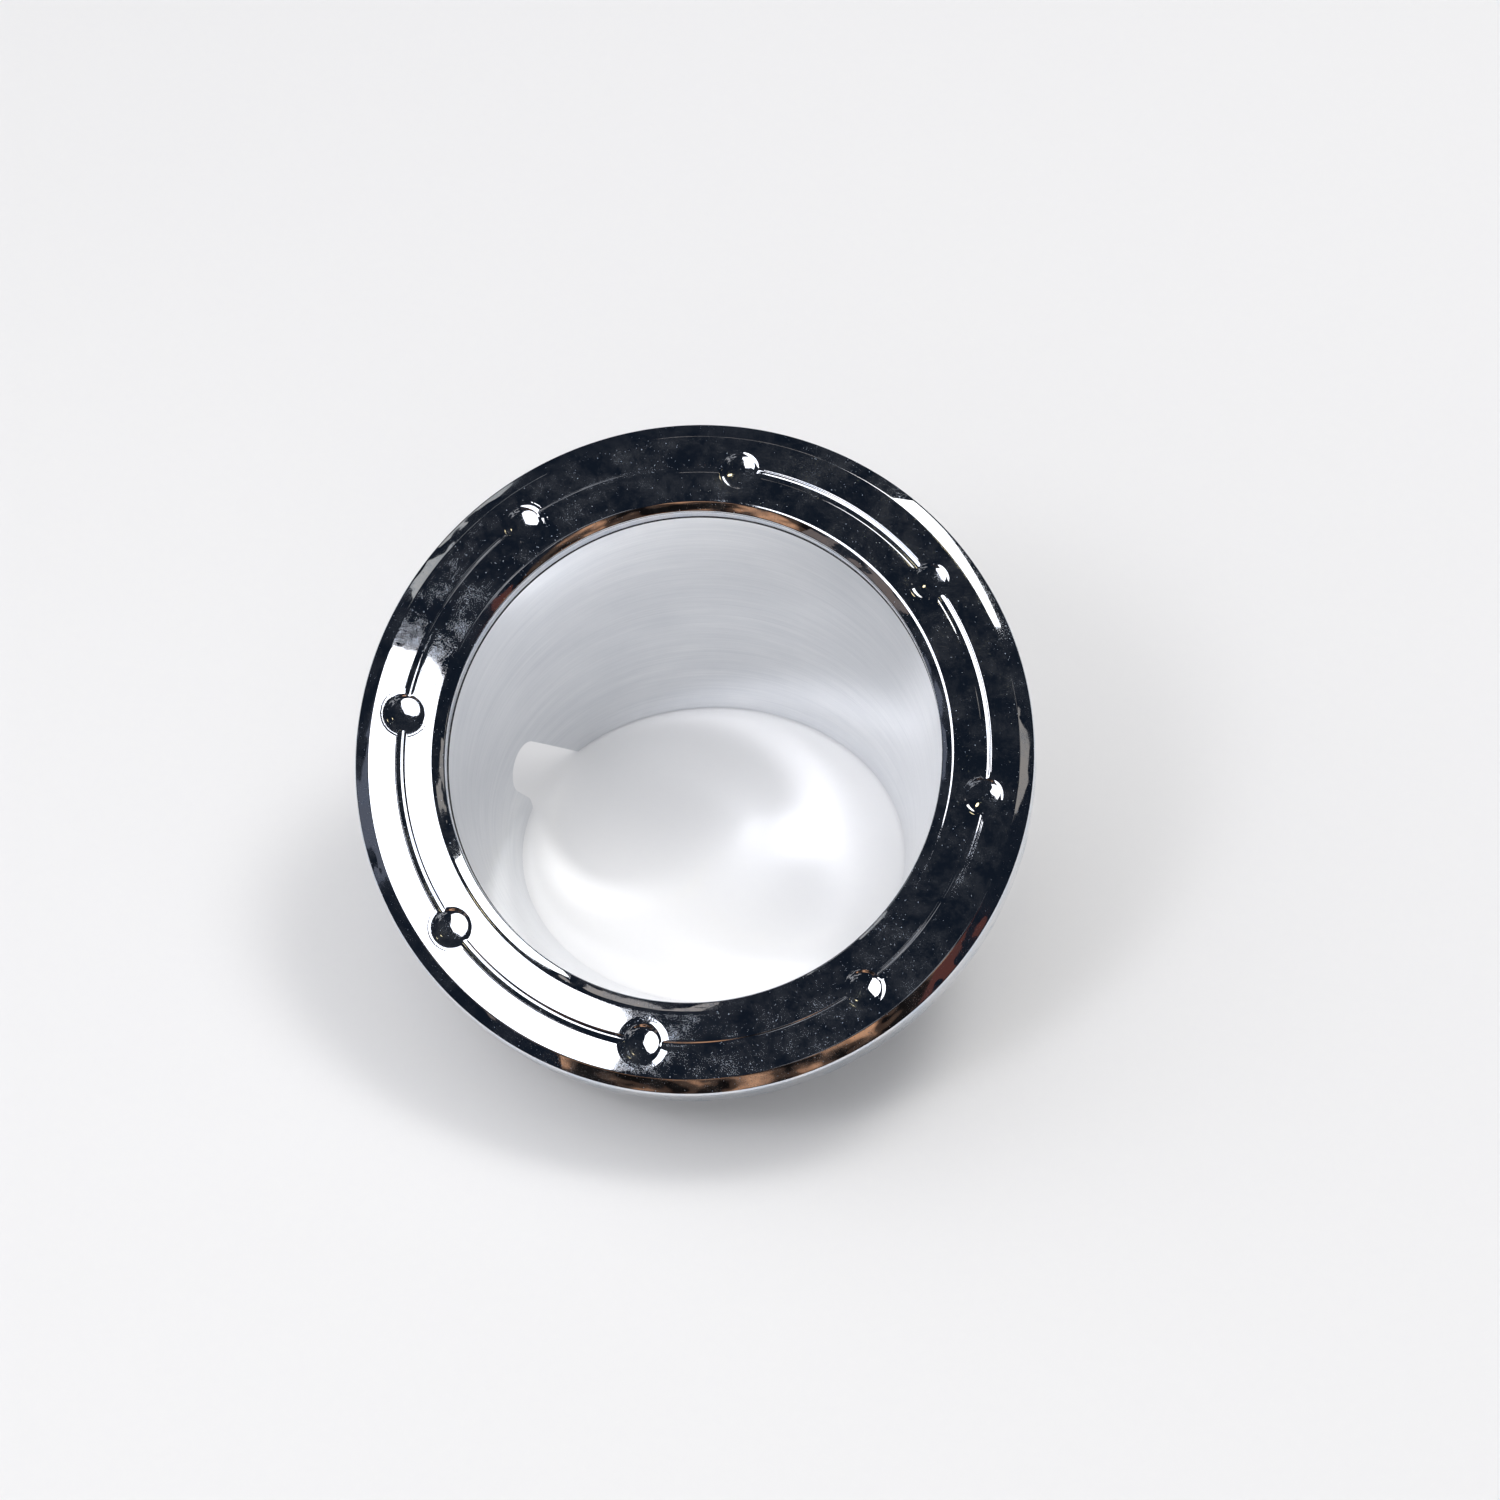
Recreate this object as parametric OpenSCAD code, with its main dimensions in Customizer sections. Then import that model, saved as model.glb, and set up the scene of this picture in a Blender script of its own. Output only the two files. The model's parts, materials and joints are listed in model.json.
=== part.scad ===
// Round through-bulwark fairlead: a chromed face ring with eight dished dimples joined by a
// shallow groove, over a raked, thin-walled satin sleeve whose open foot stands level. A stud
// behind each dimple holds the ring, the sleeve and the bulwark together. Millimetres.
//
// Row frame: the sleeve's foot stands on z = 0, +Z is up, the ring faces up and towards -Y,
// and the origin is the centre of the footprint on z = 0. The Y-Z plane is the rake plane.

/* [Face ring] */
// outside diameter of the face ring
ring_od = 150; // [120:1:200]
// clear diameter of the throat
throat_d = 109.4; // [80:0.2:130]
// overall height of the ring, face to back edge
ring_h = 12; // [8:0.5:20]
// thickness of the solid plate behind the face
plate_t = 5.5; // [4:0.1:8]
// thickness of the skirt behind the plate
skirt_t = 3.2; // [2:0.1:5]
// width and drop of the bevel round the outside
outer_bevel_w = 3.3; // [1:0.1:6]
outer_bevel_drop = 1.6; // [0.5:0.1:4]
// width and drop of the bevel round the throat
inner_bevel_w = 2.5; // [1:0.1:4]
inner_bevel_drop = 1.0; // [0.3:0.1:3]
// softening radius of the ring's visible edges
edge_r = 0.9; // [0.3:0.1:1.5]

/* [Dimples and groove] */
// diameter of the circle that the groove, the dimples and the studs lie on
pitch_d = 128.8; // [100:0.2:160]
// number of dimples, each with a stud behind it
dimple_count = 8; // [4:1:12]
// radius of a dimple where it meets the face, and its depth
dimple_r = 4.7; // [3:0.1:8]
dimple_depth = 0.74; // [0.3:0.02:1.5]
// half-width and depth of the groove
groove_r = 0.95; // [0.5:0.05:3]
groove_depth = 0.18; // [0.1:0.01:1]

/* [Studs] */
// diameter of a stud's free end, which goes through the bulwark
stud_d = 5; // [4:0.5:8]
// diameter of its thicker seated end, which the keeper nut runs on
seat_d = 6; // [5:0.5:10]
// how far a stud's tip stands below the face
stud_reach = 25; // [18:0.5:40]
// depth below the face at which a stud's blind hole ends
stud_seat = 1.9; // [1.5:0.1:4]

/* [Sleeve] */
// angle between the ring's face and the foot plane, degrees
rake = 30; // [0:1:40]
// height of the face's centre above the foot plane
face_height = 61.5; // [45:0.5:90]
// wall thickness of the sleeve
wall = 1.2; // [0.8:0.1:2.5]
// inside diameter of the round foot
foot_d = 88.6; // [70:0.2:110]
// distance from below the face's centre to the foot's centre, towards +Y
foot_offset = 23.4; // [0:0.1:40]
// outside diameter of the collar that the ring is bolted to
collar_d = 141; // [125:1:150]

/* [Leaning slot in the sleeve's foot] */
// direction of the slot round the foot, degrees from +X
slot_az = 165; // [0:1:359]
// radius of the slot's round end
slot_r = 6; // [2:0.1:10]
// where the round end is centred: sideways and above the foot
slot_end_x = 7.2; // [-15:0.1:15]
slot_end_h = 15.1; // [8:0.1:25]
// where the slot's two sides reach the foot
slot_foot_x1 = -13.6; // [-20:0.1:0]
slot_foot_x2 = 4.6; // [0:0.1:20]
// width and height of the blunted tip beside the slot
tip_w = 2.2; // [0:0.1:4]
tip_h = 3.4; // [0:0.1:6]

/* [Fastening and seals] */
// thickness of the seal between ring and sleeve collar
seal_t = 0.4; // [0.2:0.1:1]
// washer outside diameter and thickness
washer_d = 11.8; // [8:0.1:14]
washer_t = 1; // [0.5:0.1:2]
// keeper nut width across flats and thickness
nut_af = 10; // [7:0.5:16]
nut_t = 3.2; // [2:0.1:5]
// thickness of the bedding gasket behind the ring
gasket_t = 1.5; // [0.5:0.1:4]

/* [Detail] */
$fn = 128; // [48:8:200]

/* [Hidden] */
e = 0.01;

ring_r = ring_od/2;
throat_r = throat_d/2;
pitch_r = pitch_d/2;
face_ri = throat_r + inner_bevel_w;
face_ro = ring_r - outer_bevel_w;
skirt_ri = ring_r - skirt_t;
stud_r = stud_d/2;
seat_r = seat_d/2;
hole_r = seat_r + 0.15;
// levels down from the face, along the ring's axis
z_seal = -plate_t;
z_collar = z_seal - seal_t;
z_washer = z_collar - wall;
z_nut = z_washer - washer_t;
z_back = -ring_h;
mouth_r = throat_r + 0.25;

stud_angles = [for (i = [0 : dimple_count - 1]) i*360/dimple_count];
gasket_r = ring_r - 0.8;

// ---------- helpers ----------

// unit vector from a to b
function dir(a, b) = (b - a)/norm(b - a);
// how far back from corner q, between p and s, a fillet of radius r starts
function set_back(p, q, s, r) =
    r/tan(acos(dir(q, p)*dir(q, s))/2);
function fillet_centre(p, q, s, r) =
    let (u = dir(q, p) + dir(q, s)) q + u/norm(u)*r/sin(acos(dir(q, p)*dir(q, s))/2);

// centre of the whole part's footprint in Y, so that the origin is the centre of its box
edge_c = fillet_centre([ring_r, z_back], [ring_r, -outer_bevel_drop], [face_ro, 0], edge_r);
y_near = -edge_c[0]*cos(rake) - edge_c[1]*sin(rake) - edge_r;
y_far = gasket_r*cos(rake) + (ring_h + gasket_t)*sin(rake);
y_mid = (y_near + y_far)/2;

// closed outline with its corners softened: each corner is [point, radius], radius 0 is sharp
module soft_outline(c) {
    n = len(c);
    polygon([for (i = [0 : n - 1])
        let (p = c[(i + n - 1)%n][0], q = c[i][0], s = c[(i + 1)%n][0], r = c[i][1])
        each (r == 0 ? [q] : let (t = set_back(p, q, s, r)) [q + dir(q, p)*t, q + dir(q, s)*t])]);
    for (i = [0 : n - 1])
        if (c[i][1] > 0)
            translate(fillet_centre(c[(i + n - 1)%n][0], c[i][0], c[(i + 1)%n][0], c[i][1]))
                circle(r = c[i][1]);
}

// children in the ring's own frame: face on z = 0, facing +Z, +Y uphill
module on_ring() {
    translate([0, -y_mid, face_height]) rotate([rake, 0, 0]) children();
}

// children at every stud of the ring
module at_studs() {
    for (a = stud_angles) rotate(a) translate([pitch_r, 0, 0]) children();
}

module washer_shape(ro, ri, t) {
    difference() {
        cylinder(r = ro, h = t);
        translate([0, 0, -1]) cylinder(r = ri, h = t + 2);
    }
}

// ---------- face ring ----------

module ring_profile() {
    soft_outline([
        [[throat_r, -plate_t], 0.3],
        [[skirt_ri, -plate_t], 0],
        [[skirt_ri, z_back], 0.4],
        [[ring_r, z_back], 0.4],
        [[ring_r, -outer_bevel_drop], edge_r],
        [[face_ro, 0], edge_r],
        [[face_ri, 0], edge_r],
        [[throat_r, -inner_bevel_drop], edge_r*0.6]
    ]);
}

// radius of the round that cuts a hollow of half-width w and depth d
function hollow_r(w, d) = (w*w + d*d)/(2*d);

module face_ring() {
    gr = hollow_r(groove_r, groove_depth);
    dr = hollow_r(dimple_r, dimple_depth);
    on_ring() difference() {
        rotate_extrude() difference() {
            ring_profile();
            translate([pitch_r, gr - groove_depth]) circle(r = gr);
        }
        at_studs() {
            translate([0, 0, dr - dimple_depth]) sphere(r = dr);
            translate([0, 0, -plate_t - 1])
                cylinder(r = seat_r + 0.05, h = plate_t + 1 - stud_seat);
        }
    }
}

// ---------- studs ----------

// a stepped rod: thick where it is seated, thin beyond the gasket, with both ends chamfered
module stud() {
    c = 0.6;
    step = seat_r - stud_r;
    z_step = z_back - gasket_t - 0.1;
    translate([0, 0, -stud_reach]) cylinder(r1 = stud_r - c, r2 = stud_r, h = c);
    translate([0, 0, -stud_reach + c]) cylinder(r = stud_r, h = stud_reach - c + z_step - step);
    translate([0, 0, z_step - step]) cylinder(r1 = stud_r, r2 = seat_r, h = step);
    translate([0, 0, z_step]) cylinder(r = seat_r, h = -stud_seat - c - z_step);
    translate([0, 0, -stud_seat - c]) cylinder(r1 = seat_r, r2 = seat_r - c, h = c);
}

module studs() {
    on_ring() at_studs() stud();
}

// ---------- sleeve ----------

// solid between the raked mouth and the level foot, grown by g all round and run past both
// ends by a share s of its length
module sleeve_core(g, s) {
    top = [0, -z_collar*sin(rake) - y_mid, face_height + z_collar*cos(rake)];
    foot = [0, foot_offset - y_mid, 0];
    lean = top - foot;
    dr = mouth_r - foot_d/2;
    hull() {
        translate(top + lean*s) rotate([rake, 0, 0])
            cylinder(r = mouth_r + g + dr*s, h = e);
        translate(foot - lean*s) cylinder(r = foot_d/2 + g - dr*s, h = e);
    }
}

// cutter for the leaning slot: a round end that opens out towards the foot
module slot_cutter() {
    translate([0, foot_offset - y_mid, 0]) rotate(slot_az) rotate([90, 0, 90])
        linear_extrude(height = foot_d) {
            hull() {
                translate([slot_end_x, slot_end_h]) circle(r = slot_r);
                translate([slot_foot_x1, -e]) square([slot_foot_x2 - slot_foot_x1, e]);
            }
            translate([slot_foot_x1, -2]) square([slot_foot_x2 + tip_w - slot_foot_x1, 2]);
            translate([0, -1]) square([slot_foot_x2 + tip_w, tip_h + 1]);
        }
}

module sleeve() {
    difference() {
        union() {
            // tapered wall, trimmed level at the foot
            difference() {
                sleeve_core(wall, 0.02);
                translate([0, 0, -50]) cube([300, 300, 100], center = true);
                on_ring() translate([0, 0, z_collar - wall/2]) cylinder(r = 100, h = 60);
            }
            // collar that is clamped behind the ring
            on_ring() translate([0, 0, z_washer]) cylinder(r = collar_d/2, h = wall);
        }
        sleeve_core(0, 0.04);
        slot_cutter();
        on_ring() at_studs() translate([0, 0, z_washer - 1]) cylinder(r = hole_r, h = wall + 2);
    }
}

// ---------- fastening and seals ----------

module sleeve_seal() {
    on_ring() difference() {
        translate([0, 0, z_collar]) washer_shape(collar_d/2 - 0.5, throat_r + 0.3, seal_t);
        at_studs() translate([0, 0, z_collar - 1]) cylinder(r = hole_r, h = seal_t + 2);
    }
}

module washers() {
    on_ring() at_studs() translate([0, 0, z_nut]) washer_shape(washer_d/2, hole_r, washer_t);
}

module keeper_nut() {
    difference() {
        cylinder(d = nut_af/cos(30), h = nut_t, $fn = 6);
        translate([0, 0, -1]) cylinder(r = seat_r + 0.05, h = nut_t + 2);
    }
}

module keeper_nuts() {
    on_ring() at_studs() translate([0, 0, z_nut - nut_t]) keeper_nut();
}

// flat ring that beds the skirt on the bulwark, round the sleeve and the studs
module bedding_gasket() {
    on_ring() difference() {
        translate([0, 0, z_back - gasket_t])
            washer_shape(gasket_r, throat_r + 4, gasket_t);
        at_studs() translate([0, 0, z_back - gasket_t - 1])
            cylinder(r = hole_r + 0.1, h = gasket_t + 2);
    }
}

// ---------- assembly ----------

color([0.80, 0.82, 0.85]) face_ring();
color([0.72, 0.72, 0.70]) studs();
color([0.06, 0.06, 0.07]) sleeve_seal();
color([0.66, 0.68, 0.70]) sleeve();
color([0.60, 0.61, 0.62]) washers();
color([0.72, 0.70, 0.62]) keeper_nuts();
color([0.10, 0.10, 0.11]) bedding_gasket();
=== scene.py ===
# Looks for the round raked fairlead: a chromed ring with dimples and a groove over a satin
# sleeve, on a pale table under two softboxes. Metres, in the CAD part's own frame.
import json
import math

import bmesh
import bpy
import numpy as np
from mathutils import Matrix, Vector


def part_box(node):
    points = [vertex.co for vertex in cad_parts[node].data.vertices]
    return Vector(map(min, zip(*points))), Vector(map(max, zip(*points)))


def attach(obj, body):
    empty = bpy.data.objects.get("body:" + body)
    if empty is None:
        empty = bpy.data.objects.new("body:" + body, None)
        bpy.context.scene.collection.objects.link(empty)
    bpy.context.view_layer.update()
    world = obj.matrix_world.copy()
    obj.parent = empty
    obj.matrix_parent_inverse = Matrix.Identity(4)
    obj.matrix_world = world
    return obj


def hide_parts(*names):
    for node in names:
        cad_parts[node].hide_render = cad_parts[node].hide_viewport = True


MM = 0.001

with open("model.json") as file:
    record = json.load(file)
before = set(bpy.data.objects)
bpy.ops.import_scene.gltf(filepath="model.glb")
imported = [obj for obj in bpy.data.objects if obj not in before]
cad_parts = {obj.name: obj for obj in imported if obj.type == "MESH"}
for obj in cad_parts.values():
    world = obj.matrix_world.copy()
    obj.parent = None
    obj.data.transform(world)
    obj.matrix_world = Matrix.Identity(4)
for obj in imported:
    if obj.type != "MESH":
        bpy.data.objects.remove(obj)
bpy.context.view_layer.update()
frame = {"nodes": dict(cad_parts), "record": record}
record = frame["record"]
mounts = {m["name"]: m for m in record["mounts"]}

# ------------------------------------------------------------------ places from the record

ring_axis = Vector(mounts["throat"]["axis"]).normalized()
throat_r = mounts["throat"]["dims"]["r_mm"] * MM
ring_lo, ring_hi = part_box("face_ring")
ring_r = (ring_hi.x - ring_lo.x) / 2
pitch_r = mounts["studs"]["dims"]["pcd_mm"] * MM / 2
stud_r = mounts["studs"]["dims"]["stud_r_mm"] * MM
stud_count = mounts["studs"]["dims"]["count"]

RAKE = math.acos(ring_axis.z)
THROAT_DEPTH = 3.4 * MM  # how far the throat mount lies below the face
face_centre = Vector(mounts["throat"]["pos_m"]) + ring_axis * THROAT_DEPTH

# the ring's own frame: face on z = 0, +Y uphill
ON_RING = Matrix.Translation(face_centre) @ Matrix.Rotation(RAKE, 4, "X")
TO_RING = np.array(ON_RING.inverted())

PLATE = 5.5 * MM  # thickness of the ring's plate
SKIRT = 3.2 * MM  # wall of its skirt
BACK = 12 * MM  # depth of the skirt's lower edge
SEAL = 0.4 * MM  # thickness of the seal between plate and sleeve
WALL = 1.2 * MM  # wall of the sleeve
SEAT = PLATE + SEAL  # depth of the sleeve's mouth and collar
MOUTH_R = throat_r + 0.25 * MM
FOOT_R = 44.3 * MM
FOOT_Y = mounts["sleeve_foot"]["pos_m"][1] - FOOT_R - WALL / 2
COLLAR_R = 70.5 * MM
SLOT_AZIMUTH = math.radians(165)


# ------------------------------------------------------------------ mesh helpers

def new_object(name, verts, faces, matrix=None):
    """Mesh object from arrays, smooth, with its place kept in its vertices."""
    mesh = bpy.data.meshes.new(name)
    mesh.from_pydata([tuple(v) for v in verts], [], [tuple(f) for f in faces])
    if matrix is not None:
        mesh.transform(matrix)
    obj = bpy.data.objects.new(name, mesh)
    bpy.context.scene.collection.objects.link(obj)
    mesh.shade_smooth()
    return obj


def fix_normals(obj, sharp_deg=None):
    """Faces turned outwards, and edges above the angle given made sharp."""
    bm = bmesh.new()
    bm.from_mesh(obj.data)
    bmesh.ops.recalc_face_normals(bm, faces=bm.faces)
    bm.to_mesh(obj.data)
    bm.free()
    if sharp_deg:
        obj.data.set_sharp_from_angle(angle=math.radians(sharp_deg))


def loop_grid(rows, cols):
    """Faces of a grid that closes on itself both ways."""
    faces = []
    for i in range(rows):
        a, b = i * cols, ((i + 1) % rows) * cols
        faces += [(a + j, a + (j + 1) % cols, b + (j + 1) % cols, b + j) for j in range(cols)]
    return faces


def arc(p, q, s, r, steps):
    """Points of the fillet of radius r at corner q, between p and s."""
    p, q, s = (np.array(v, float) for v in (p, q, s))
    u, w = (p - q) / np.linalg.norm(p - q), (s - q) / np.linalg.norm(s - q)
    half = math.acos(np.clip(u @ w, -1, 1)) / 2
    centre = q + (u + w) / np.linalg.norm(u + w) * r / math.sin(half)
    start, end = q + u * r / math.tan(half) - centre, q + w * r / math.tan(half) - centre
    a0, a1 = math.atan2(start[1], start[0]), math.atan2(end[1], end[0])
    turn = (a1 - a0 + math.pi) % (2 * math.pi) - math.pi
    return [centre + r * np.array([math.cos(a0 + turn * k / steps),
                                   math.sin(a0 + turn * k / steps)]) for k in range(steps + 1)]


def soft_outline(corners):
    """Closed outline in mm from [r, z, radius, steps] corners, with every corner rounded."""
    n, out = len(corners), []
    for i, (r, z, rad, steps) in enumerate(corners):
        p, s = corners[i - 1][:2], corners[(i + 1) % n][:2]
        out += arc(p, (r, z), s, rad, steps) if rad else [np.array([r, z])]
    return out


def mark_lay(obj, func):
    """Per-point vector that the materials run their polishing lines along."""
    co = np.zeros(len(obj.data.vertices) * 3)
    obj.data.vertices.foreach_get("co", co)
    lay = obj.data.attributes.new("lay", "FLOAT_VECTOR", "POINT")
    lay.data.foreach_set("vector", func(co.reshape(-1, 3)).astype(np.float32).ravel())


def ring_local(co):
    """Points in the ring's own frame."""
    return co @ TO_RING[:3, :3].T + TO_RING[:3, 3]


def ring_lay(co):
    """Direction round the ring, and distance out from its axis along its surface."""
    p = ring_local(co)
    r = np.hypot(p[:, 0], p[:, 1]) + 1e-9
    return np.stack([p[:, 0] / r, p[:, 1] / r, (r - p[:, 2]) * 10], -1)


# ------------------------------------------------------------------ face ring

def dimple_depth(d):
    """Height of the face at distance d (mm) from a dimple's centre."""
    wall_start, wall_width, lip_start, lip_end = 2.8, 1.15, 3.9, 5.43
    floor_slope, floor_r, wall_slope = 0.13, 1.95, 0.21
    grid = np.linspace(0, 5.45, 546)
    wall = np.clip((grid - wall_start) / wall_width, 0, 1)
    bowl = floor_slope * np.tanh(grid / floor_r) + wall_slope * wall**2 * (3 - 2 * wall)
    lip = np.interp(grid, [lip_start, 4.2, 4.6, lip_end], [0.36, 0.2, 0.09, 0.0])
    slope = np.where(grid < lip_start, bowl, lip)
    rise = np.concatenate([[0], np.cumsum((slope[1:] + slope[:-1]) / 2 * np.diff(grid))])
    return np.interp(d, grid, rise - rise[-1])


def groove_depth(d, half=1.12, floor=2.5, lip=0.8):
    """Height of the face at distance d (mm) from the groove's centre line.

    The groove's floor and its two lips are arcs that meet in a common tangent.
    """
    centre = math.sqrt((floor + lip)**2 - half**2) - lip
    change = half * floor / (floor + lip)
    bowl = centre - np.sqrt(np.maximum(floor**2 - d**2, 0))
    edge = -lip + np.sqrt(np.maximum(lip**2 - (half - d)**2, 0))
    return np.where(d < change, bowl, np.where(d < half, edge, 0.0))


def soft_min(a, b, k=0.06):
    """Lower of two heights, with the corner between them rounded."""
    h = np.clip(0.5 + 0.5 * (b - a) / k, 0, 1)
    return b * (1 - h) + a * h - k * h * (1 - h)


def close_steps(lo, hi, fine_lo, fine_hi, fine, coarse):
    """Values from lo to hi, close together between fine_lo and fine_hi."""
    return np.concatenate([
        np.arange(lo, fine_lo, coarse), np.arange(fine_lo, fine_hi, fine),
        np.arange(fine_hi, hi - coarse / 2, coarse)])


def build_face_ring():
    """Ring turned from its rounded outline, with the groove and the dimples in its face."""
    throat, rim, pitch = throat_r / MM, ring_r / MM, pitch_r / MM
    inner_bevel, outer_bevel = (2.5, -1.0), (3.3, -1.6)
    groove_reach, dimple_reach, rows_reach = 1.2, 5.5, 5.6
    groove_gap, dimple_gap, plain_gap = 0.055, 0.14, 0.5  # between rows of points
    profile = np.array(soft_outline([
        [throat, -PLATE / MM, 0.3, 3],
        [throat, inner_bevel[1], 0.7, 8],
        [throat + inner_bevel[0], 0, 2.2, 12],
        [rim - outer_bevel[0], 0, 1.1, 8],
        [rim, outer_bevel[1], 0.9, 9],
        [rim, -BACK / MM, 0.4, 4],
        [rim - SKIRT / MM, -BACK / MM, 0.4, 3],
        [rim - SKIRT / MM, -PLATE / MM, 0.5, 3],
    ]))
    # fill the face between its two rounded edges with close rows, closest in the groove
    on_face = np.abs(profile[:, 1]) < 1e-6
    split = int(np.argmax(np.where(on_face & (profile[:, 0] < pitch), profile[:, 0], 0)))
    first, last = profile[split, 0] + 0.3, profile[split + 1, 0] - 0.2
    groove_in, groove_out = pitch - groove_reach, pitch + groove_reach
    radii = np.concatenate([
        close_steps(first, groove_in, pitch - rows_reach, groove_in, dimple_gap, plain_gap),
        close_steps(groove_in, last, groove_in, groove_out, groove_gap, dimple_gap)])
    face = np.stack([radii, radii * 0], -1)
    profile = np.vstack([profile[:split + 1], face, profile[split + 1:]])
    # columns close together at the dimples, in degrees
    step, dimple_span, dimple_turn, plain_turn = 360 / stud_count, 5.2, 0.125, 0.9
    one = close_steps(-step / 2, step / 2, -dimple_span, dimple_span, dimple_turn, plain_turn)
    columns = np.radians(np.concatenate([one + step * k for k in range(stud_count)]))
    cols = len(columns)
    r, th = np.meshgrid(profile[:, 0], columns, indexing="ij")
    z = np.repeat(profile[:, 1:2], cols, axis=1)
    # distance to the nearest dimple's centre and to the groove's centre line
    turn = 2 * math.pi / stud_count
    near = (th + turn / 2) % turn - turn / 2
    to_dimple = np.hypot(r * np.cos(near) - pitch, r * np.sin(near))
    to_groove = np.abs(r - pitch)
    hollow = soft_min(dimple_depth(to_dimple), groove_depth(to_groove))
    plain = (to_dimple > dimple_reach) & (to_groove > groove_reach)
    hollow = np.where(plain, 0, np.minimum(hollow, 0))
    z = np.where(np.abs(z) < 1e-6, hollow, z)
    verts = np.stack([r * np.cos(th), r * np.sin(th), z], -1).reshape(-1, 3) * MM
    ring = new_object("ring_chrome_body", verts, loop_grid(len(profile), cols), ON_RING)
    fix_normals(ring)
    mark_lay(ring, ring_lay)
    return ring


# ------------------------------------------------------------------ sleeve

def circle(radius, cols, u, v):
    """Circle of the radius given in the plane of two unit vectors."""
    th = np.linspace(0, 2 * math.pi, cols, endpoint=False)
    return radius * (np.outer(np.cos(th), u) + np.outer(np.sin(th), v))


def sleeve_circle(s, grow, cols):
    """Circle of the sleeve's wall at share s of the way from foot (0) to mouth (1)."""
    uphill = [0, math.cos(RAKE), math.sin(RAKE)]
    mouth = np.array(ON_RING @ Vector((0, 0, -SEAT))) + circle(
        MOUTH_R + grow, cols, [1, 0, 0], uphill)
    foot = np.array([0, FOOT_Y, 0]) + circle(FOOT_R + grow, cols, [1, 0, 0], [0, 1, 0])
    return foot * (1 - s) + mouth * s


def ring_circle(r, z, cols):
    """Circle of radius r about the ring's axis, at height z above its face."""
    m = np.array(ON_RING)
    flat = circle(r, cols, [1, 0, 0], [0, 1, 0]) + [0, 0, z]
    return flat @ m[:3, :3].T + m[:3, 3]


def tangent_point(p, centre, r, side):
    """Where the line from p touches the circle, on the side given by its sign."""
    d = centre - p
    dist = np.linalg.norm(d)
    a = math.atan2(d[1], d[0]) + side * math.asin(r / dist)
    return p + math.sqrt(dist**2 - r**2) * np.array([math.cos(a), math.sin(a)])


def slot_outline():
    """Leaning slot in mm: across the sleeve, and up from its foot. Its upper end is round."""
    end, end_r = np.array([7.2, 15.1]), 6.0
    left, right = np.array([-13.6, 0.0]), np.array([4.6, 0.0])
    below = -3.0
    touch_left = tangent_point(left, end, end_r, 1)
    touch_right = tangent_point(right, end, end_r, -1)
    a0 = math.atan2(*(touch_left - end)[::-1])
    a1 = math.atan2(*(touch_right - end)[::-1])
    sweep = (a1 - a0) % (-2 * math.pi)
    angles = [a0 + sweep * k / 40 for k in range(41)]
    pts = [np.array([left[0], below]), left]
    pts += [end + end_r * np.array([math.cos(a), math.sin(a)]) for a in angles]
    # blunted tip beside the slot, rounded into the slanting side
    tip_height, tip_bend, tip_foot = 4.4, np.array([6.75, 2.6]), np.array([6.8, 0.8])
    tip = right + (touch_right - right) * (tip_height / (touch_right - right)[1])
    for k in range(7):
        f = k / 6
        pts.append(tip * (1 - f)**2 + 2 * f * (1 - f) * tip_bend + f**2 * tip_foot)
    pts.append(np.array([tip_foot[0], below]))
    return np.array(pts)


def slot_cutter():
    """Prism of the slot, level and pointing out at SLOT_AZIMUTH."""
    pts = slot_outline() * MM
    n = len(pts)
    out = np.array([math.cos(SLOT_AZIMUTH), math.sin(SLOT_AZIMUTH), 0])
    side = np.array([-out[1], out[0], 0])
    base = np.array([0, FOOT_Y, 0])
    ends = [base + out * d + np.outer(pts[:, 0], side) + np.outer(pts[:, 1], [0, 0, 1])
            for d in (20 * MM, 70 * MM)]
    faces = [tuple(range(n)), tuple(range(2 * n - 1, n - 1, -1))]
    faces += [(i, (i + 1) % n, n + (i + 1) % n, n + i) for i in range(n)]
    cutter = new_object("slot_cutter", np.vstack(ends), faces)
    fix_normals(cutter)
    return cutter


def sleeve_lay(co):
    """Direction round the sleeve, and share of the way from its foot to its mouth."""
    p = ring_local(co)
    foot = np.maximum(co[:, 2], 0)
    mouth = np.maximum(-SEAT - p[:, 2], 0)
    s = foot / (foot + mouth + 1e-6)
    y = co[:, 1] - FOOT_Y * (1 - s) - face_centre.y * s
    r = np.hypot(co[:, 0], y) + 1e-9
    return np.stack([co[:, 0] / r, y / r, s], -1)


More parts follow.
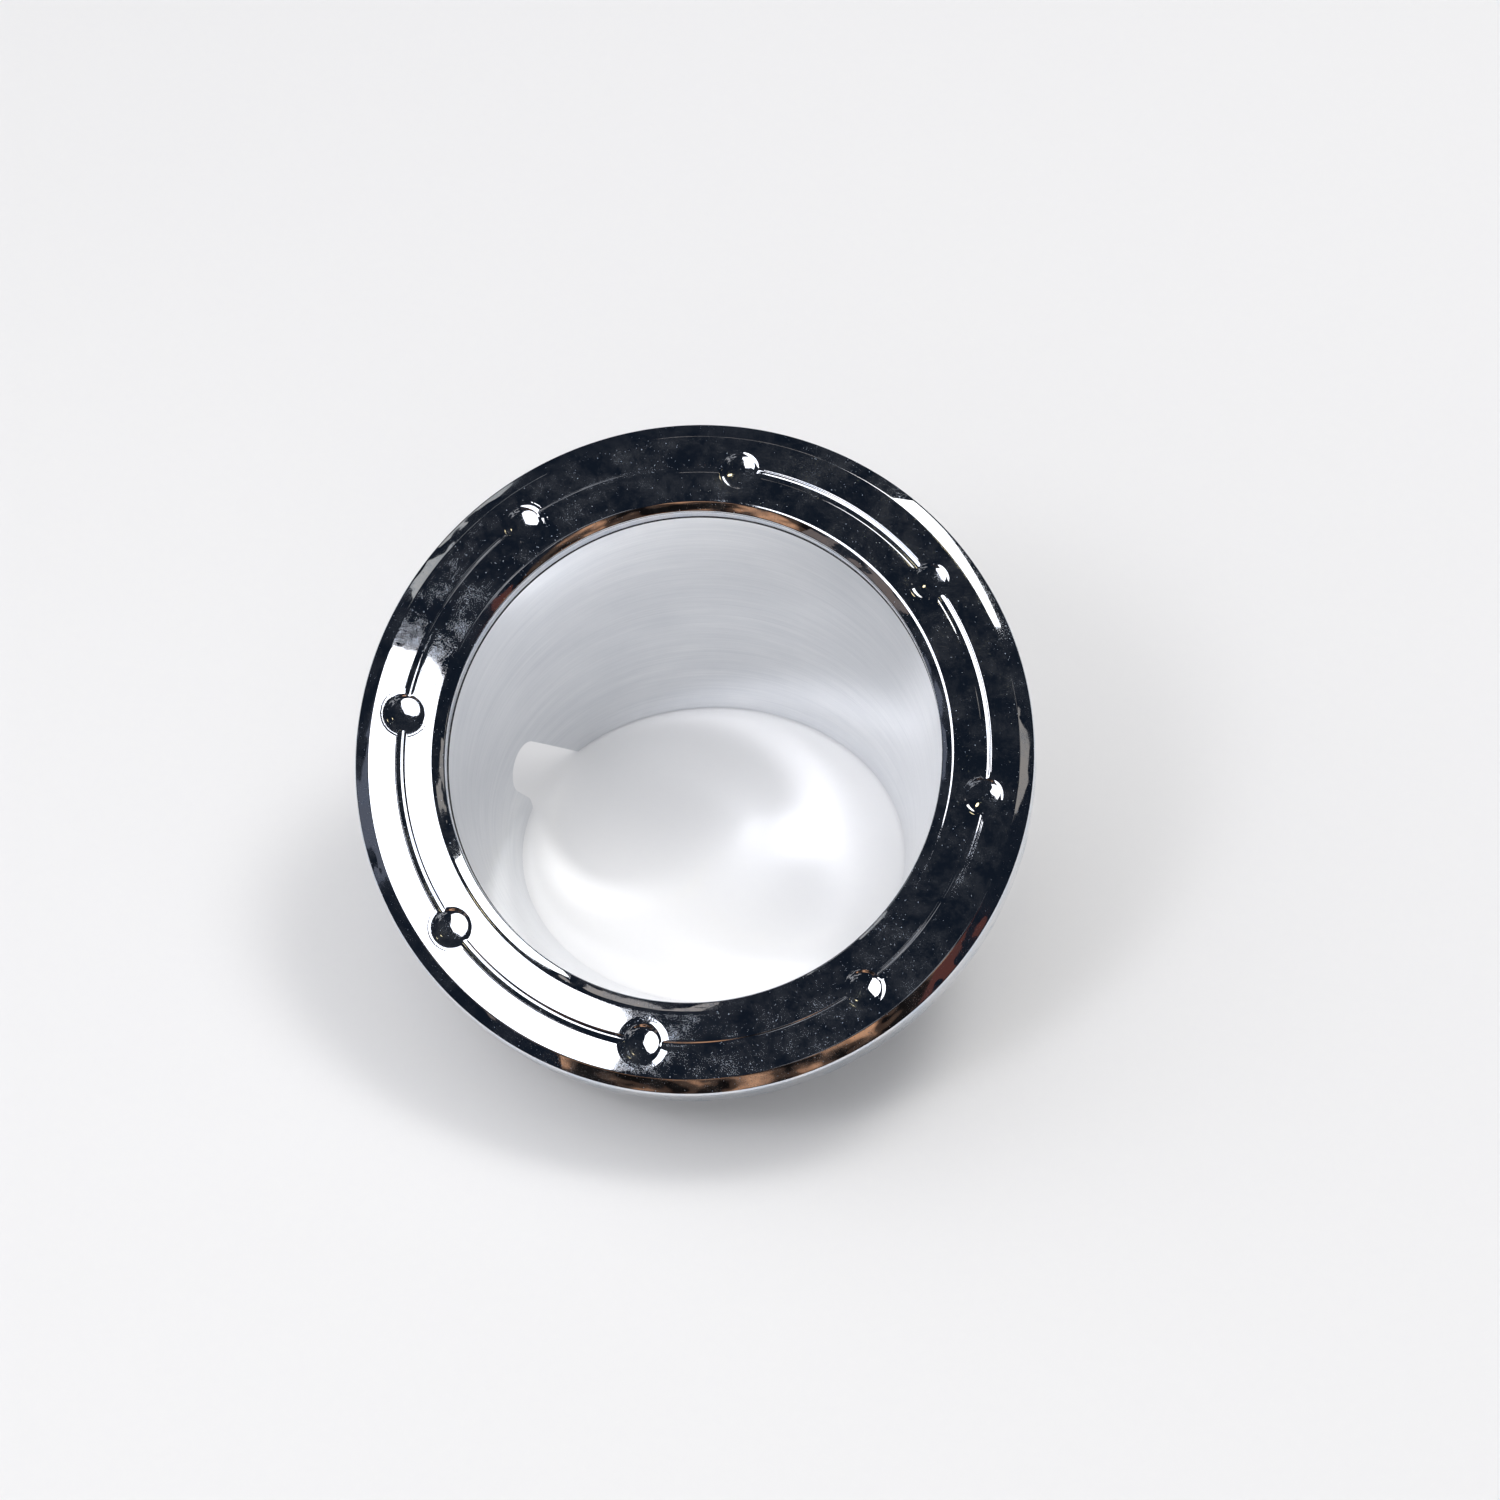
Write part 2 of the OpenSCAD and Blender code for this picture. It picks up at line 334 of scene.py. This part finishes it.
def build_sleeve(cols=720, rows=44):
    """Sleeve with its collar, turned in one skin, and the slot cut out of its foot."""
    corner = 0.35 * MM
    rings = [ring_circle(COLLAR_R, -SEAT - WALL, cols), ring_circle(COLLAR_R, -SEAT, cols),
             ring_circle(MOUTH_R + corner, -SEAT, cols)]
    # inner skin from a softened mouth down to a softened foot
    rings += [sleeve_circle(s, g * MM, cols) for s, g in ((0.9995, 0.12), (0.997, 0.02))]
    rings += [sleeve_circle(s, 0, cols) for s in np.linspace(0.99, 0.02, rows)]
    rings += [sleeve_circle(s, g * MM, cols)
              for s, g in ((0.010, 0.0), (0.006, 0.03), (0.003, 0.10), (0.0012, 0.22),
                           (0.0, 0.42), (0.0, 1.0), (0.004, 1.2))]
    rings += [sleeve_circle(s, WALL, cols) for s in np.linspace(0.02, 0.955, rows)]
    rings += [ring_circle(MOUTH_R + WALL + corner, -SEAT - WALL, cols)]
    sleeve = new_object("sleeve_skin", np.vstack(rings), loop_grid(len(rings), cols))
    fix_normals(sleeve)
    cutter = slot_cutter()
    cut = sleeve.modifiers.new("slot", "BOOLEAN")
    cut.operation, cut.solver, cut.object = "DIFFERENCE", "EXACT", cutter
    deps = bpy.context.evaluated_depsgraph_get()
    mesh = bpy.data.meshes.new_from_object(sleeve.evaluated_get(deps))
    sleeve.modifiers.clear()
    sleeve.data = mesh
    bpy.data.objects.remove(cutter)
    mesh.shade_smooth()
    mesh.set_sharp_from_angle(angle=math.radians(38))
    mark_lay(sleeve, sleeve_lay)
    return sleeve


def build_joint_shade_bead(cols=360, steps=10):
    """Black rubber bead of the seal in the joint between the ring's throat and the sleeve; its
    dark line is painted shade, standing in for the shade in that gap.
    """
    centre_r, centre_z = throat_r + 0.18 * MM, -PLATE - 0.22 * MM
    half_w, half_h = 0.26 * MM, 0.30 * MM
    turns = [2 * math.pi * k / steps for k in range(steps)]
    rings = [ring_circle(centre_r + half_w * math.cos(a), centre_z + half_h * math.sin(a), cols)
             for a in turns]
    shade_bead = new_object("joint_shade_bead", np.vstack(rings), loop_grid(steps, cols))
    fix_normals(shade_bead)
    return shade_bead


# ------------------------------------------------------------------ studs with rolled threads

def stud_rows(cols, steps=7):
    """Radius and height of each row of points of one stud, from its tip to its seat."""
    seat, tip, shoulder = 1.9 * MM, 25 * MM, 13.6 * MM
    seat_r = stud_r + 0.5 * MM
    run_out = 1.1 * MM
    th = np.linspace(0, 2 * math.pi, cols, endpoint=False)
    rows = []

    def ring(radius, z):
        rows.append((np.broadcast_to(radius, cols), np.full(cols, z)))

    def thread(z0, z1, radius, pitch):
        for z in np.arange(z0, z1, pitch / steps):
            phase = (z / pitch - th / (2 * math.pi)) % 1.0
            ridge = np.clip(1 - np.abs(phase - 0.5) * 2.6, 0, 1)
            fade = max(0.12, min(1, (z - z0) / run_out, (z1 - z) / run_out))
            ring(radius - 0.02 * MM - 0.55 * pitch * (1 - ridge * fade), z)

    ring(stud_r - 1.3 * MM, -tip)
    ring(stud_r - 0.6 * MM, -tip + 0.02 * MM)
    thread(-tip + 0.5 * MM, -shoulder - 0.7 * MM, stud_r, 0.8 * MM)
    ring(stud_r - 0.3 * MM, -shoulder - 0.5 * MM)
    ring(seat_r - 0.45 * MM, -shoulder - 0.1 * MM)
    thread(-shoulder + 0.1 * MM, -seat - 0.7 * MM, seat_r, 1.0 * MM)
    ring(seat_r - 0.6 * MM, -seat)
    return np.array([r for r, _ in rows]), np.array([z for _, z in rows]), th


def build_studs(cols=30):
    """Stepped studs with rolled threads: a thick seated end and a thin free end."""
    r, z, th = stud_rows(cols)
    one = np.stack([r * np.cos(th), r * np.sin(th), z], -1).reshape(-1, 3)
    n = len(r)
    one_faces = [(i * cols + j, i * cols + (j + 1) % cols, (i + 1) * cols + (j + 1) % cols,
                  (i + 1) * cols + j) for i in range(n - 1) for j in range(cols)]
    one_faces += [tuple(range(cols))[::-1], tuple((n - 1) * cols + j for j in range(cols))]
    verts, faces = [], []
    for k in range(stud_count):
        a = 2 * math.pi * k / stud_count
        c, s = math.cos(a), math.sin(a)
        turn = np.array([[c, -s, 0], [s, c, 0], [0, 0, 1]])
        verts.append((one + [pitch_r, 0, 0]) @ turn.T)
        faces += [tuple(v + k * len(one) for v in f) for f in one_faces]
    studs = new_object("threaded_studs", np.vstack(verts), faces, ON_RING)
    fix_normals(studs, 50)
    return studs


# ------------------------------------------------------------------ materials

class NodeTree:
    """Short calls for building one node tree."""

    def __init__(self, tree):
        self.tree = tree

    def put(self, socket, value):
        """Link the socket to another one, or set it to a plain value."""
        if isinstance(value, bpy.types.NodeSocket):
            self.tree.links.new(value, socket)
        else:
            socket.default_value = value

    def add(self, kind, *values, **named):
        """New node. Its first sockets take the values in order. Names with a capital are
        sockets, and the others are settings."""
        node = self.tree.nodes.new(kind)
        for key, value in named.items():
            if key[0].islower():
                setattr(node, key, value)
            else:
                self.put(node.inputs[key.replace("_", " ")], value)
        for socket, value in zip(node.inputs, values):
            self.put(socket, value)
        return node

    def math(self, op, a, b):
        return self.add("ShaderNodeMath", a, b, operation=op).outputs[0]

    def vector(self, op, *values):
        return self.add("ShaderNodeVectorMath", *values, operation=op).outputs

    def ramp(self, fac, lo, hi, a=0.0, b=1.0, shape="LINEAR"):
        return self.add("ShaderNodeMapRange", interpolation_type=shape, Value=fac, From_Min=lo,
                        From_Max=hi, To_Min=a, To_Max=b).outputs["Result"]

    def mix(self, fac, a, b):
        node = self.add("ShaderNodeMix", fac, data_type="RGBA")
        self.put(node.inputs[6], a)
        self.put(node.inputs[7], b)
        return node.outputs[2]

    def mix_shader(self, fac, a, b):
        return self.add("ShaderNodeMixShader", fac, a, b).outputs[0]

    def first_mirror_ray(self):
        """1 for a mirror ray that has met no matt surface yet, else 0."""
        path = self.add("ShaderNodeLightPath").outputs
        clean = self.math("LESS_THAN", path["Diffuse Depth"], 0.5)
        return self.math("MULTIPLY", path["Is Glossy Ray"], clean)


class Finish(NodeTree):
    """Node tree of one material round its Principled shader."""

    def __init__(self, name):
        self.mat = bpy.data.materials.new(name)
        self.mat.use_nodes = True
        super().__init__(self.mat.node_tree)
        self.bsdf = self.tree.nodes["Principled BSDF"]

    def set(self, name, value):
        self.put(self.bsdf.inputs[name], value)

    def coords(self):
        return self.add("ShaderNodeTexCoord").outputs["Object"]

    def mapping(self, vector, **named):
        return self.add("ShaderNodeMapping", Vector=vector, **named).outputs["Vector"]

    def lay(self, scale):
        attr = self.add("ShaderNodeAttribute", attribute_name="lay")
        return self.mapping(attr.outputs["Vector"], Scale=scale)

    def noise(self, vector, scale, detail=3.0, rough=0.55):
        return self.add("ShaderNodeTexNoise", Vector=vector, Scale=scale, Detail=detail,
                        Roughness=rough).outputs["Fac"]

    def blend(self, a, share_a, b, share_b):
        """Weighted sum of two patterns."""
        return self.math("ADD", self.math("MULTIPLY", a, share_a),
                         self.math("MULTIPLY", b, share_b))

    def bump(self, height, strength, distance, normal=None):
        node = self.add("ShaderNodeBump", Height=height, Strength=strength, Distance=distance)
        if normal is not None:
            self.put(node.inputs["Normal"], normal)
        return node.outputs["Normal"]


def rgb(r, g, b):
    """Opaque colour."""
    return (r, g, b, 1.0)


def chrome():
    """Mirror plating with dust, a bluish haze and short wipe marks."""
    n = Finish("worn_chrome")
    obj = n.coords()
    patch = n.ramp(n.noise(obj, 75.0, 4.0, 0.6), 0.36, 0.62)
    haze = n.ramp(n.noise(obj, 130.0, 7.0, 0.75), 0.42, 0.66)
    wipe = n.ramp(n.noise(n.lay((6, 6, 0.5)), 8.0, 4.0, 0.6), 0.35, 0.7)

    def dust(scale, share, size):
        """Specks in some cells of a grid, each with its own size and strength."""
        cell = n.add("ShaderNodeTexVoronoi", Vector=obj, Scale=scale)
        chance = n.add("ShaderNodeSeparateColor", Color=cell.outputs["Color"]).outputs
        radius = n.math("MULTIPLY", n.math("ADD", chance[1], 0.5), size)
        rare = n.math("GREATER_THAN", n.math("MULTIPLY", patch, share), chance[0])
        near = n.math("LESS_THAN", cell.outputs["Distance"], radius)
        return n.math("MULTIPLY", n.math("MULTIPLY", rare, near), chance[2])

    def scratches(turn, lo):
        long = n.mapping(obj, Rotation=turn, Scale=(2600, 70, 300))
        return n.ramp(n.noise(long, 1.0, 2.0), lo, lo + 0.05)

    dirt = n.math("MAXIMUM", dust(1150.0, 0.75, 0.115),
                  n.math("MULTIPLY", dust(1900.0, 1.0, 0.15), 0.8))
    streak = n.math("MULTIPLY", n.math("MAXIMUM", scratches((0.3, 0.2, 0.9), 0.70),
                                       scratches((0.1, -0.2, -0.5), 0.72)), wipe)
    film = n.math("MULTIPLY", haze, n.math("ADD", n.math("MULTIPLY", wipe, 0.3), 0.7))
    grain = n.math("MULTIPLY", n.ramp(n.noise(obj, 4400.0, 2.0, 0.7), 0.47, 0.62), film)
    mark = n.math("MAXIMUM", dirt, n.math("MULTIPLY", streak, 0.3))
    mark = n.math("MAXIMUM", mark, n.math("MULTIPLY", grain, 0.55))
    n.set("Metallic", 1.0)
    n.set("Base Color", n.mix(mark, n.mix(film, rgb(0.79, 0.80, 0.83), rgb(0.70, 0.73, 0.79)),
                              rgb(0.50, 0.62, 0.80)))
    n.set("Roughness", n.math("ADD", n.ramp(film, 0.0, 1.0, 0.015, 0.03),
                              n.math("MULTIPLY", mark, 0.42)))
    n.set("Coat Weight", n.math("MULTIPLY", film, 0.55))
    n.set("Coat Roughness", 0.38)
    n.set("Coat Tint", rgb(0.86, 0.93, 1.0))
    n.set("Normal", n.bump(n.noise(obj, 150.0, 2.0), 0.015, 0.0003))
    return n.mat


def satin():
    """Spun satin steel: fine lines round the sleeve and cloudy patches."""
    n = Finish("satin_steel")
    lines = n.noise(n.lay((1.6, 1.6, 230)), 1.0, 6.0, 0.62)
    wide = n.noise(n.lay((2.2, 2.2, 34)), 1.0, 4.0, 0.55)
    cloud = n.noise(n.coords(), 38.0, 4.0, 0.6)
    tone = n.math("ADD", n.math("MULTIPLY", lines, 0.35), n.blend(wide, 0.3, cloud, 0.35))
    n.set("Metallic", 1.0)
    n.set("Base Color", n.mix(n.ramp(tone, 0.35, 0.65), rgb(0.69, 0.71, 0.74),
                              rgb(0.86, 0.87, 0.885)))
    n.set("Roughness", n.ramp(tone, 0.35, 0.65, 0.035, 0.08))
    # the smear of the reflections runs up the sleeve, across its lines
    n.set("Anisotropic", 0.6)
    n.set("Anisotropic Rotation", 0.25)
    n.set("Normal", n.bump(lines, 0.11, 0.00002, n.bump(wide, 0.06, 0.0002)))
    return n.mat


def plain_steel(name, light, dark, rough):
    """Machined steel with faint clouds and a fine grain."""
    n = Finish(name)
    obj = n.coords()
    cloud = n.noise(obj, 240.0, 5.0, 0.6)
    fine = n.noise(obj, 2600.0, 2.0)
    n.set("Metallic", 1.0)
    n.set("Base Color", n.mix(n.ramp(cloud, 0.35, 0.65), dark, light))
    n.set("Roughness", n.ramp(n.blend(cloud, 0.6, fine, 0.4), 0.35, 0.65,
                              rough - 0.08, rough + 0.1))
    n.set("Normal", n.bump(fine, 0.15, 0.00003))
    return n.mat


def rubber(name, light, dark):
    """Dull black rubber with a pebbled skin."""
    n = Finish(name)
    obj = n.coords()
    cloud = n.noise(obj, 120.0, 5.0, 0.6)
    grain = n.noise(obj, 3200.0, 3.0, 0.6)
    n.set("Base Color", n.mix(n.ramp(cloud, 0.35, 0.65), dark, light))
    n.set("Roughness", n.ramp(grain, 0.3, 0.7, 0.55, 0.8))
    n.set("Normal", n.bump(grain, 0.3, 0.00005))
    return n.mat


def table_paper():
    """Pale matt paper with a barely seen fleck."""
    n = Finish("table_paper")
    obj = n.coords()
    cloud = n.noise(obj, 1.6, 4.0)
    fleck = n.noise(obj, 420.0, 3.0)
    tone = n.blend(cloud, 0.7, fleck, 0.3)
    n.set("Base Color", n.mix(n.ramp(tone, 0.3, 0.7), rgb(0.845, 0.845, 0.86),
                              rgb(0.865, 0.865, 0.87)))
    n.set("Roughness", 0.62)
    n.set("Specular IOR Level", 0.25)
    n.set("Normal", n.bump(fleck, 0.05, 0.0001))
    return n.mat


def dress(obj, material):
    """Give the piece its only material."""
    obj.data.materials.clear()
    obj.data.materials.append(material)


# ------------------------------------------------------------------ pieces

ring = build_face_ring()
dress(ring, chrome())
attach(ring, "root")
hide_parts("face_ring")

sleeve = build_sleeve()
dress(sleeve, satin())
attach(sleeve, "root")
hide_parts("sleeve")

# dark rubber bead in the throat joint: painted shade of the gap there
shade_bead = build_joint_shade_bead()
dress(shade_bead, rubber("shade_bead_rubber", rgb(0.03, 0.03, 0.032), rgb(0.012, 0.012, 0.014)))
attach(shade_bead, "root")

studs = build_studs()
dress(studs, plain_steel("stud_steel", rgb(0.66, 0.66, 0.65), rgb(0.50, 0.50, 0.49), 0.3))
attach(studs, "root")
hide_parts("studs")

nodes = frame["nodes"]
dress(nodes["washers"], plain_steel("plain_steel", rgb(0.60, 0.61, 0.62),
                                    rgb(0.47, 0.48, 0.49), 0.34))
dress(nodes["keeper_nuts"], plain_steel("nut_steel", rgb(0.66, 0.63, 0.54),
                                        rgb(0.52, 0.49, 0.41), 0.36))
dress(nodes["sleeve_seal"], rubber("seal_rubber", rgb(0.03, 0.03, 0.032),
                                   rgb(0.012, 0.012, 0.014)))
dress(nodes["bedding_gasket"], rubber("gasket_rubber", rgb(0.045, 0.045, 0.05),
                                      rgb(0.022, 0.022, 0.025)))

# ------------------------------------------------------------------ table, lights and room

def build_table(half_side=6.0, below=0.00005):
    """Plain table just under the object, so that its foot's edge stays clear of it."""
    bm = bmesh.new()
    bmesh.ops.create_grid(bm, x_segments=24, y_segments=24, size=half_side)
    mesh = bpy.data.meshes.new("table")
    bm.to_mesh(mesh)
    bm.free()
    table = bpy.data.objects.new("table", mesh)
    bpy.context.scene.collection.objects.link(table)
    table.location.z = -below
    return table


table = build_table()
dress(table, table_paper())


def aim(obj, origin, target):
    """Place the object and turn its -Z side to the target."""
    obj.location = origin
    obj.rotation_euler = (Vector(target) - Vector(origin)).to_track_quat("-Z", "Y").to_euler()


IMAGE_LIMIT = 2.6  # strength of a softbox's own image in the chrome
PEAK, RIM = 3.4, 0.02  # strength at a softbox's middle and at its rim, against its nominal one


def softbox(name, direction, distance, outline, radiance, tint, shift=(0, 0)):
    """Flat emitter with the outline given, facing the object and unseen by the camera.

    It stands in the direction and at the distance given from the object's middle.
    """
    target = Vector((0, 0, 0.045))
    pts = [(x + shift[0], y + shift[1], 0) for x, y in outline]
    box = new_object(name, pts, [tuple(range(len(pts)))])
    aim(box, target + Vector(direction).normalized() * distance, target)
    mat = bpy.data.materials.new(name)
    mat.use_nodes = True
    n = NodeTree(mat.node_tree)
    n.tree.nodes.clear()
    # brighter in the middle than at the rim, as the cloth of a softbox is
    reach = max(math.hypot(x, y) for x, y in outline)
    place = n.add("ShaderNodeTexCoord").outputs["Object"]
    off = n.vector("DISTANCE", place, (*shift, 0))["Value"]
    shed = n.ramp(off, 0, reach, radiance * PEAK, radiance * RIM, "SMOOTHSTEP")
    # the light it sheds is full; its own image in the chrome is held down, against hard steps
    strength = n.ramp(n.first_mirror_ray(), 0, 1, shed, min(radiance, IMAGE_LIMIT))
    glow = n.add("ShaderNodeEmission", Color=rgb(*tint), Strength=strength)
    n.add("ShaderNodeOutputMaterial", glow.outputs[0])
    dress(box, mat)
    box.visible_camera = False


def polygon(sides, radius):
    """Corners of a regular outline."""
    angles = [2 * math.pi * k / sides for k in range(sides)]
    return [(radius * math.cos(a), radius * math.sin(a)) for a in angles]


softbox("key_box", (-0.335, -0.50, 0.80), 0.93, polygon(8, 0.227), 3.3, (0.985, 0.975, 1.0),
        (-0.037, 0.004))
softbox("side_box", (0.31, 0.28, 0.91), 1.75,
        [(-0.38, -0.42), (0.36, -0.42), (0.36, 0.28), (-0.38, 0.28)], 3.5, (1.0, 0.985, 0.96))
softbox("room_lamp", (0.04, -0.16, 0.99), 1.9, polygon(6, 0.05), 14.0, (1.0, 0.85, 0.5))


NAVY = rgb(0.007, 0.011, 0.019)
# brown furniture: share of the noise, and the colour there
FURNITURE = [(0.49, rgb(0.006, 0.005, 0.005)), (0.51, rgb(0.050, 0.030, 0.022)),
             (0.56, rgb(0.075, 0.048, 0.034)), (0.59, rgb(0.28, 0.15, 0.09)),
             (0.66, rgb(0.60, 0.32, 0.18))]
# dim things round the room, clear of the dark ceiling that the flat face mirrors:
# direction, cosine of the angle from their middle to their edge, and colour
PATCHES = [((-0.723, 0.23, 0.651), 0.9988, rgb(0.45, 0.45, 0.44)),
           ((0.57, -0.65, 0.51), 0.992, rgb(0.10, 0.035, 0.03)),
           ((0.22, -0.62, 0.76), 0.996, rgb(0.32, 0.32, 0.33)),
           ((-0.12, 0.40, 0.91), 0.9985, rgb(0.35, 0.32, 0.30)),
           ((-0.85, -0.30, 0.42), 0.985, rgb(0.10, 0.11, 0.14)),
           ((-0.63, 0.33, 0.70), 0.9993, rgb(0.42, 0.42, 0.42)),
           ((0.62, -0.10, 0.78), 0.993, rgb(0.30, 0.28, 0.26)),
           ((-0.45, -0.75, 0.48), 0.99, rgb(0.16, 0.13, 0.12))]


def room_colour(n, coord):
    """Dark navy room with a few ragged patches, and warm furniture low on one side."""
    noise = n.add("ShaderNodeTexNoise", Vector=coord, Scale=8.0, Detail=2.0).outputs
    bend = n.vector("MULTIPLY_ADD", noise["Color"], (0.16, 0.16, 0.16), coord)["Vector"]
    ragged = n.vector("SUBTRACT", bend, (0.08, 0.08, 0.08))["Vector"]
    colour = NAVY
    for direction, cosine, patch in PATCHES:
        dot = n.vector("DOT_PRODUCT", ragged, Vector(direction).normalized())["Value"]
        colour = n.mix(n.math("GREATER_THAN", dot, cosine), colour, patch)

    brown = n.add("ShaderNodeValToRGB", noise["Fac"])
    stops = brown.color_ramp.elements
    for stop, (share, shade) in ((stops[0], FURNITURE[0]), (stops[1], FURNITURE[-1])):
        stop.position, stop.color = share, shade
    for share, shade in FURNITURE[1:-1]:
        stops.new(share).color = shade
    # the furniture stands low, in front, and near the middle
    x, y, z = n.add("ShaderNodeSeparateXYZ", coord).outputs
    low = n.math("MULTIPLY", n.math("LESS_THAN", z, 0.60), n.math("GREATER_THAN", z, 0.03))
    off_centre = n.math("ABSOLUTE", n.math("SUBTRACT", x, 0.13), 0.0)
    side = n.math("MULTIPLY", n.math("LESS_THAN", y, -0.5), n.math("LESS_THAN", off_centre, 0.47))
    return n.mix(n.math("MULTIPLY", low, side), colour, brown.outputs[0])


def studio_world():
    """Pale to the camera and to matt surfaces, and a dark room to mirrors."""
    world = bpy.data.worlds.new("studio")
    bpy.context.scene.world = world
    world.use_nodes = True
    n = NodeTree(world.node_tree)
    n.tree.nodes.clear()
    coord = n.add("ShaderNodeTexCoord").outputs["Generated"]
    # the soft fill comes more from the left than from the right
    fill = n.vector("DOT_PRODUCT", coord, (-0.40, -0.05, 0.26))["Value"]
    strength = n.math("MAXIMUM", n.math("ADD", fill, 0.585), 0.05)

    def background(**named):
        return n.add("ShaderNodeBackground", **named).outputs[0]

    lit = n.mix_shader(n.first_mirror_ray(),
                       background(Color=rgb(0.93, 0.935, 0.95), Strength=strength),
                       background(Color=room_colour(n, coord)))
    to_camera = n.add("ShaderNodeLightPath").outputs["Is Camera Ray"]
    seen = n.mix_shader(to_camera, lit, background(Color=rgb(0.88, 0.885, 0.90)))
    n.add("ShaderNodeOutputWorld", seen)


studio_world()

# ------------------------------------------------------------------ camera

scene = bpy.context.scene
camera = bpy.data.objects.new("camera", bpy.data.cameras.new("camera"))
scene.collection.objects.link(camera)
camera.data.lens = 108
camera.data.sensor_width = 36
camera.data.clip_start = 0.01
look_at = Vector((0.0101, 0.0118, 0.0475))
azimuth, elevation, distance = math.radians(-79.22), math.radians(49.2), 1.004
aim(camera, look_at + distance * Vector((
    math.cos(elevation) * math.cos(azimuth), math.cos(elevation) * math.sin(azimuth),
    math.sin(elevation))), look_at)
scene.camera = camera
scene.view_settings.view_transform = "Standard"
scene.view_settings.look = "None"
scene.view_settings.exposure = 0.0
scene.cycles.blur_glossy = 0.0  # keeps the bright curves that the sleeve throws on the table
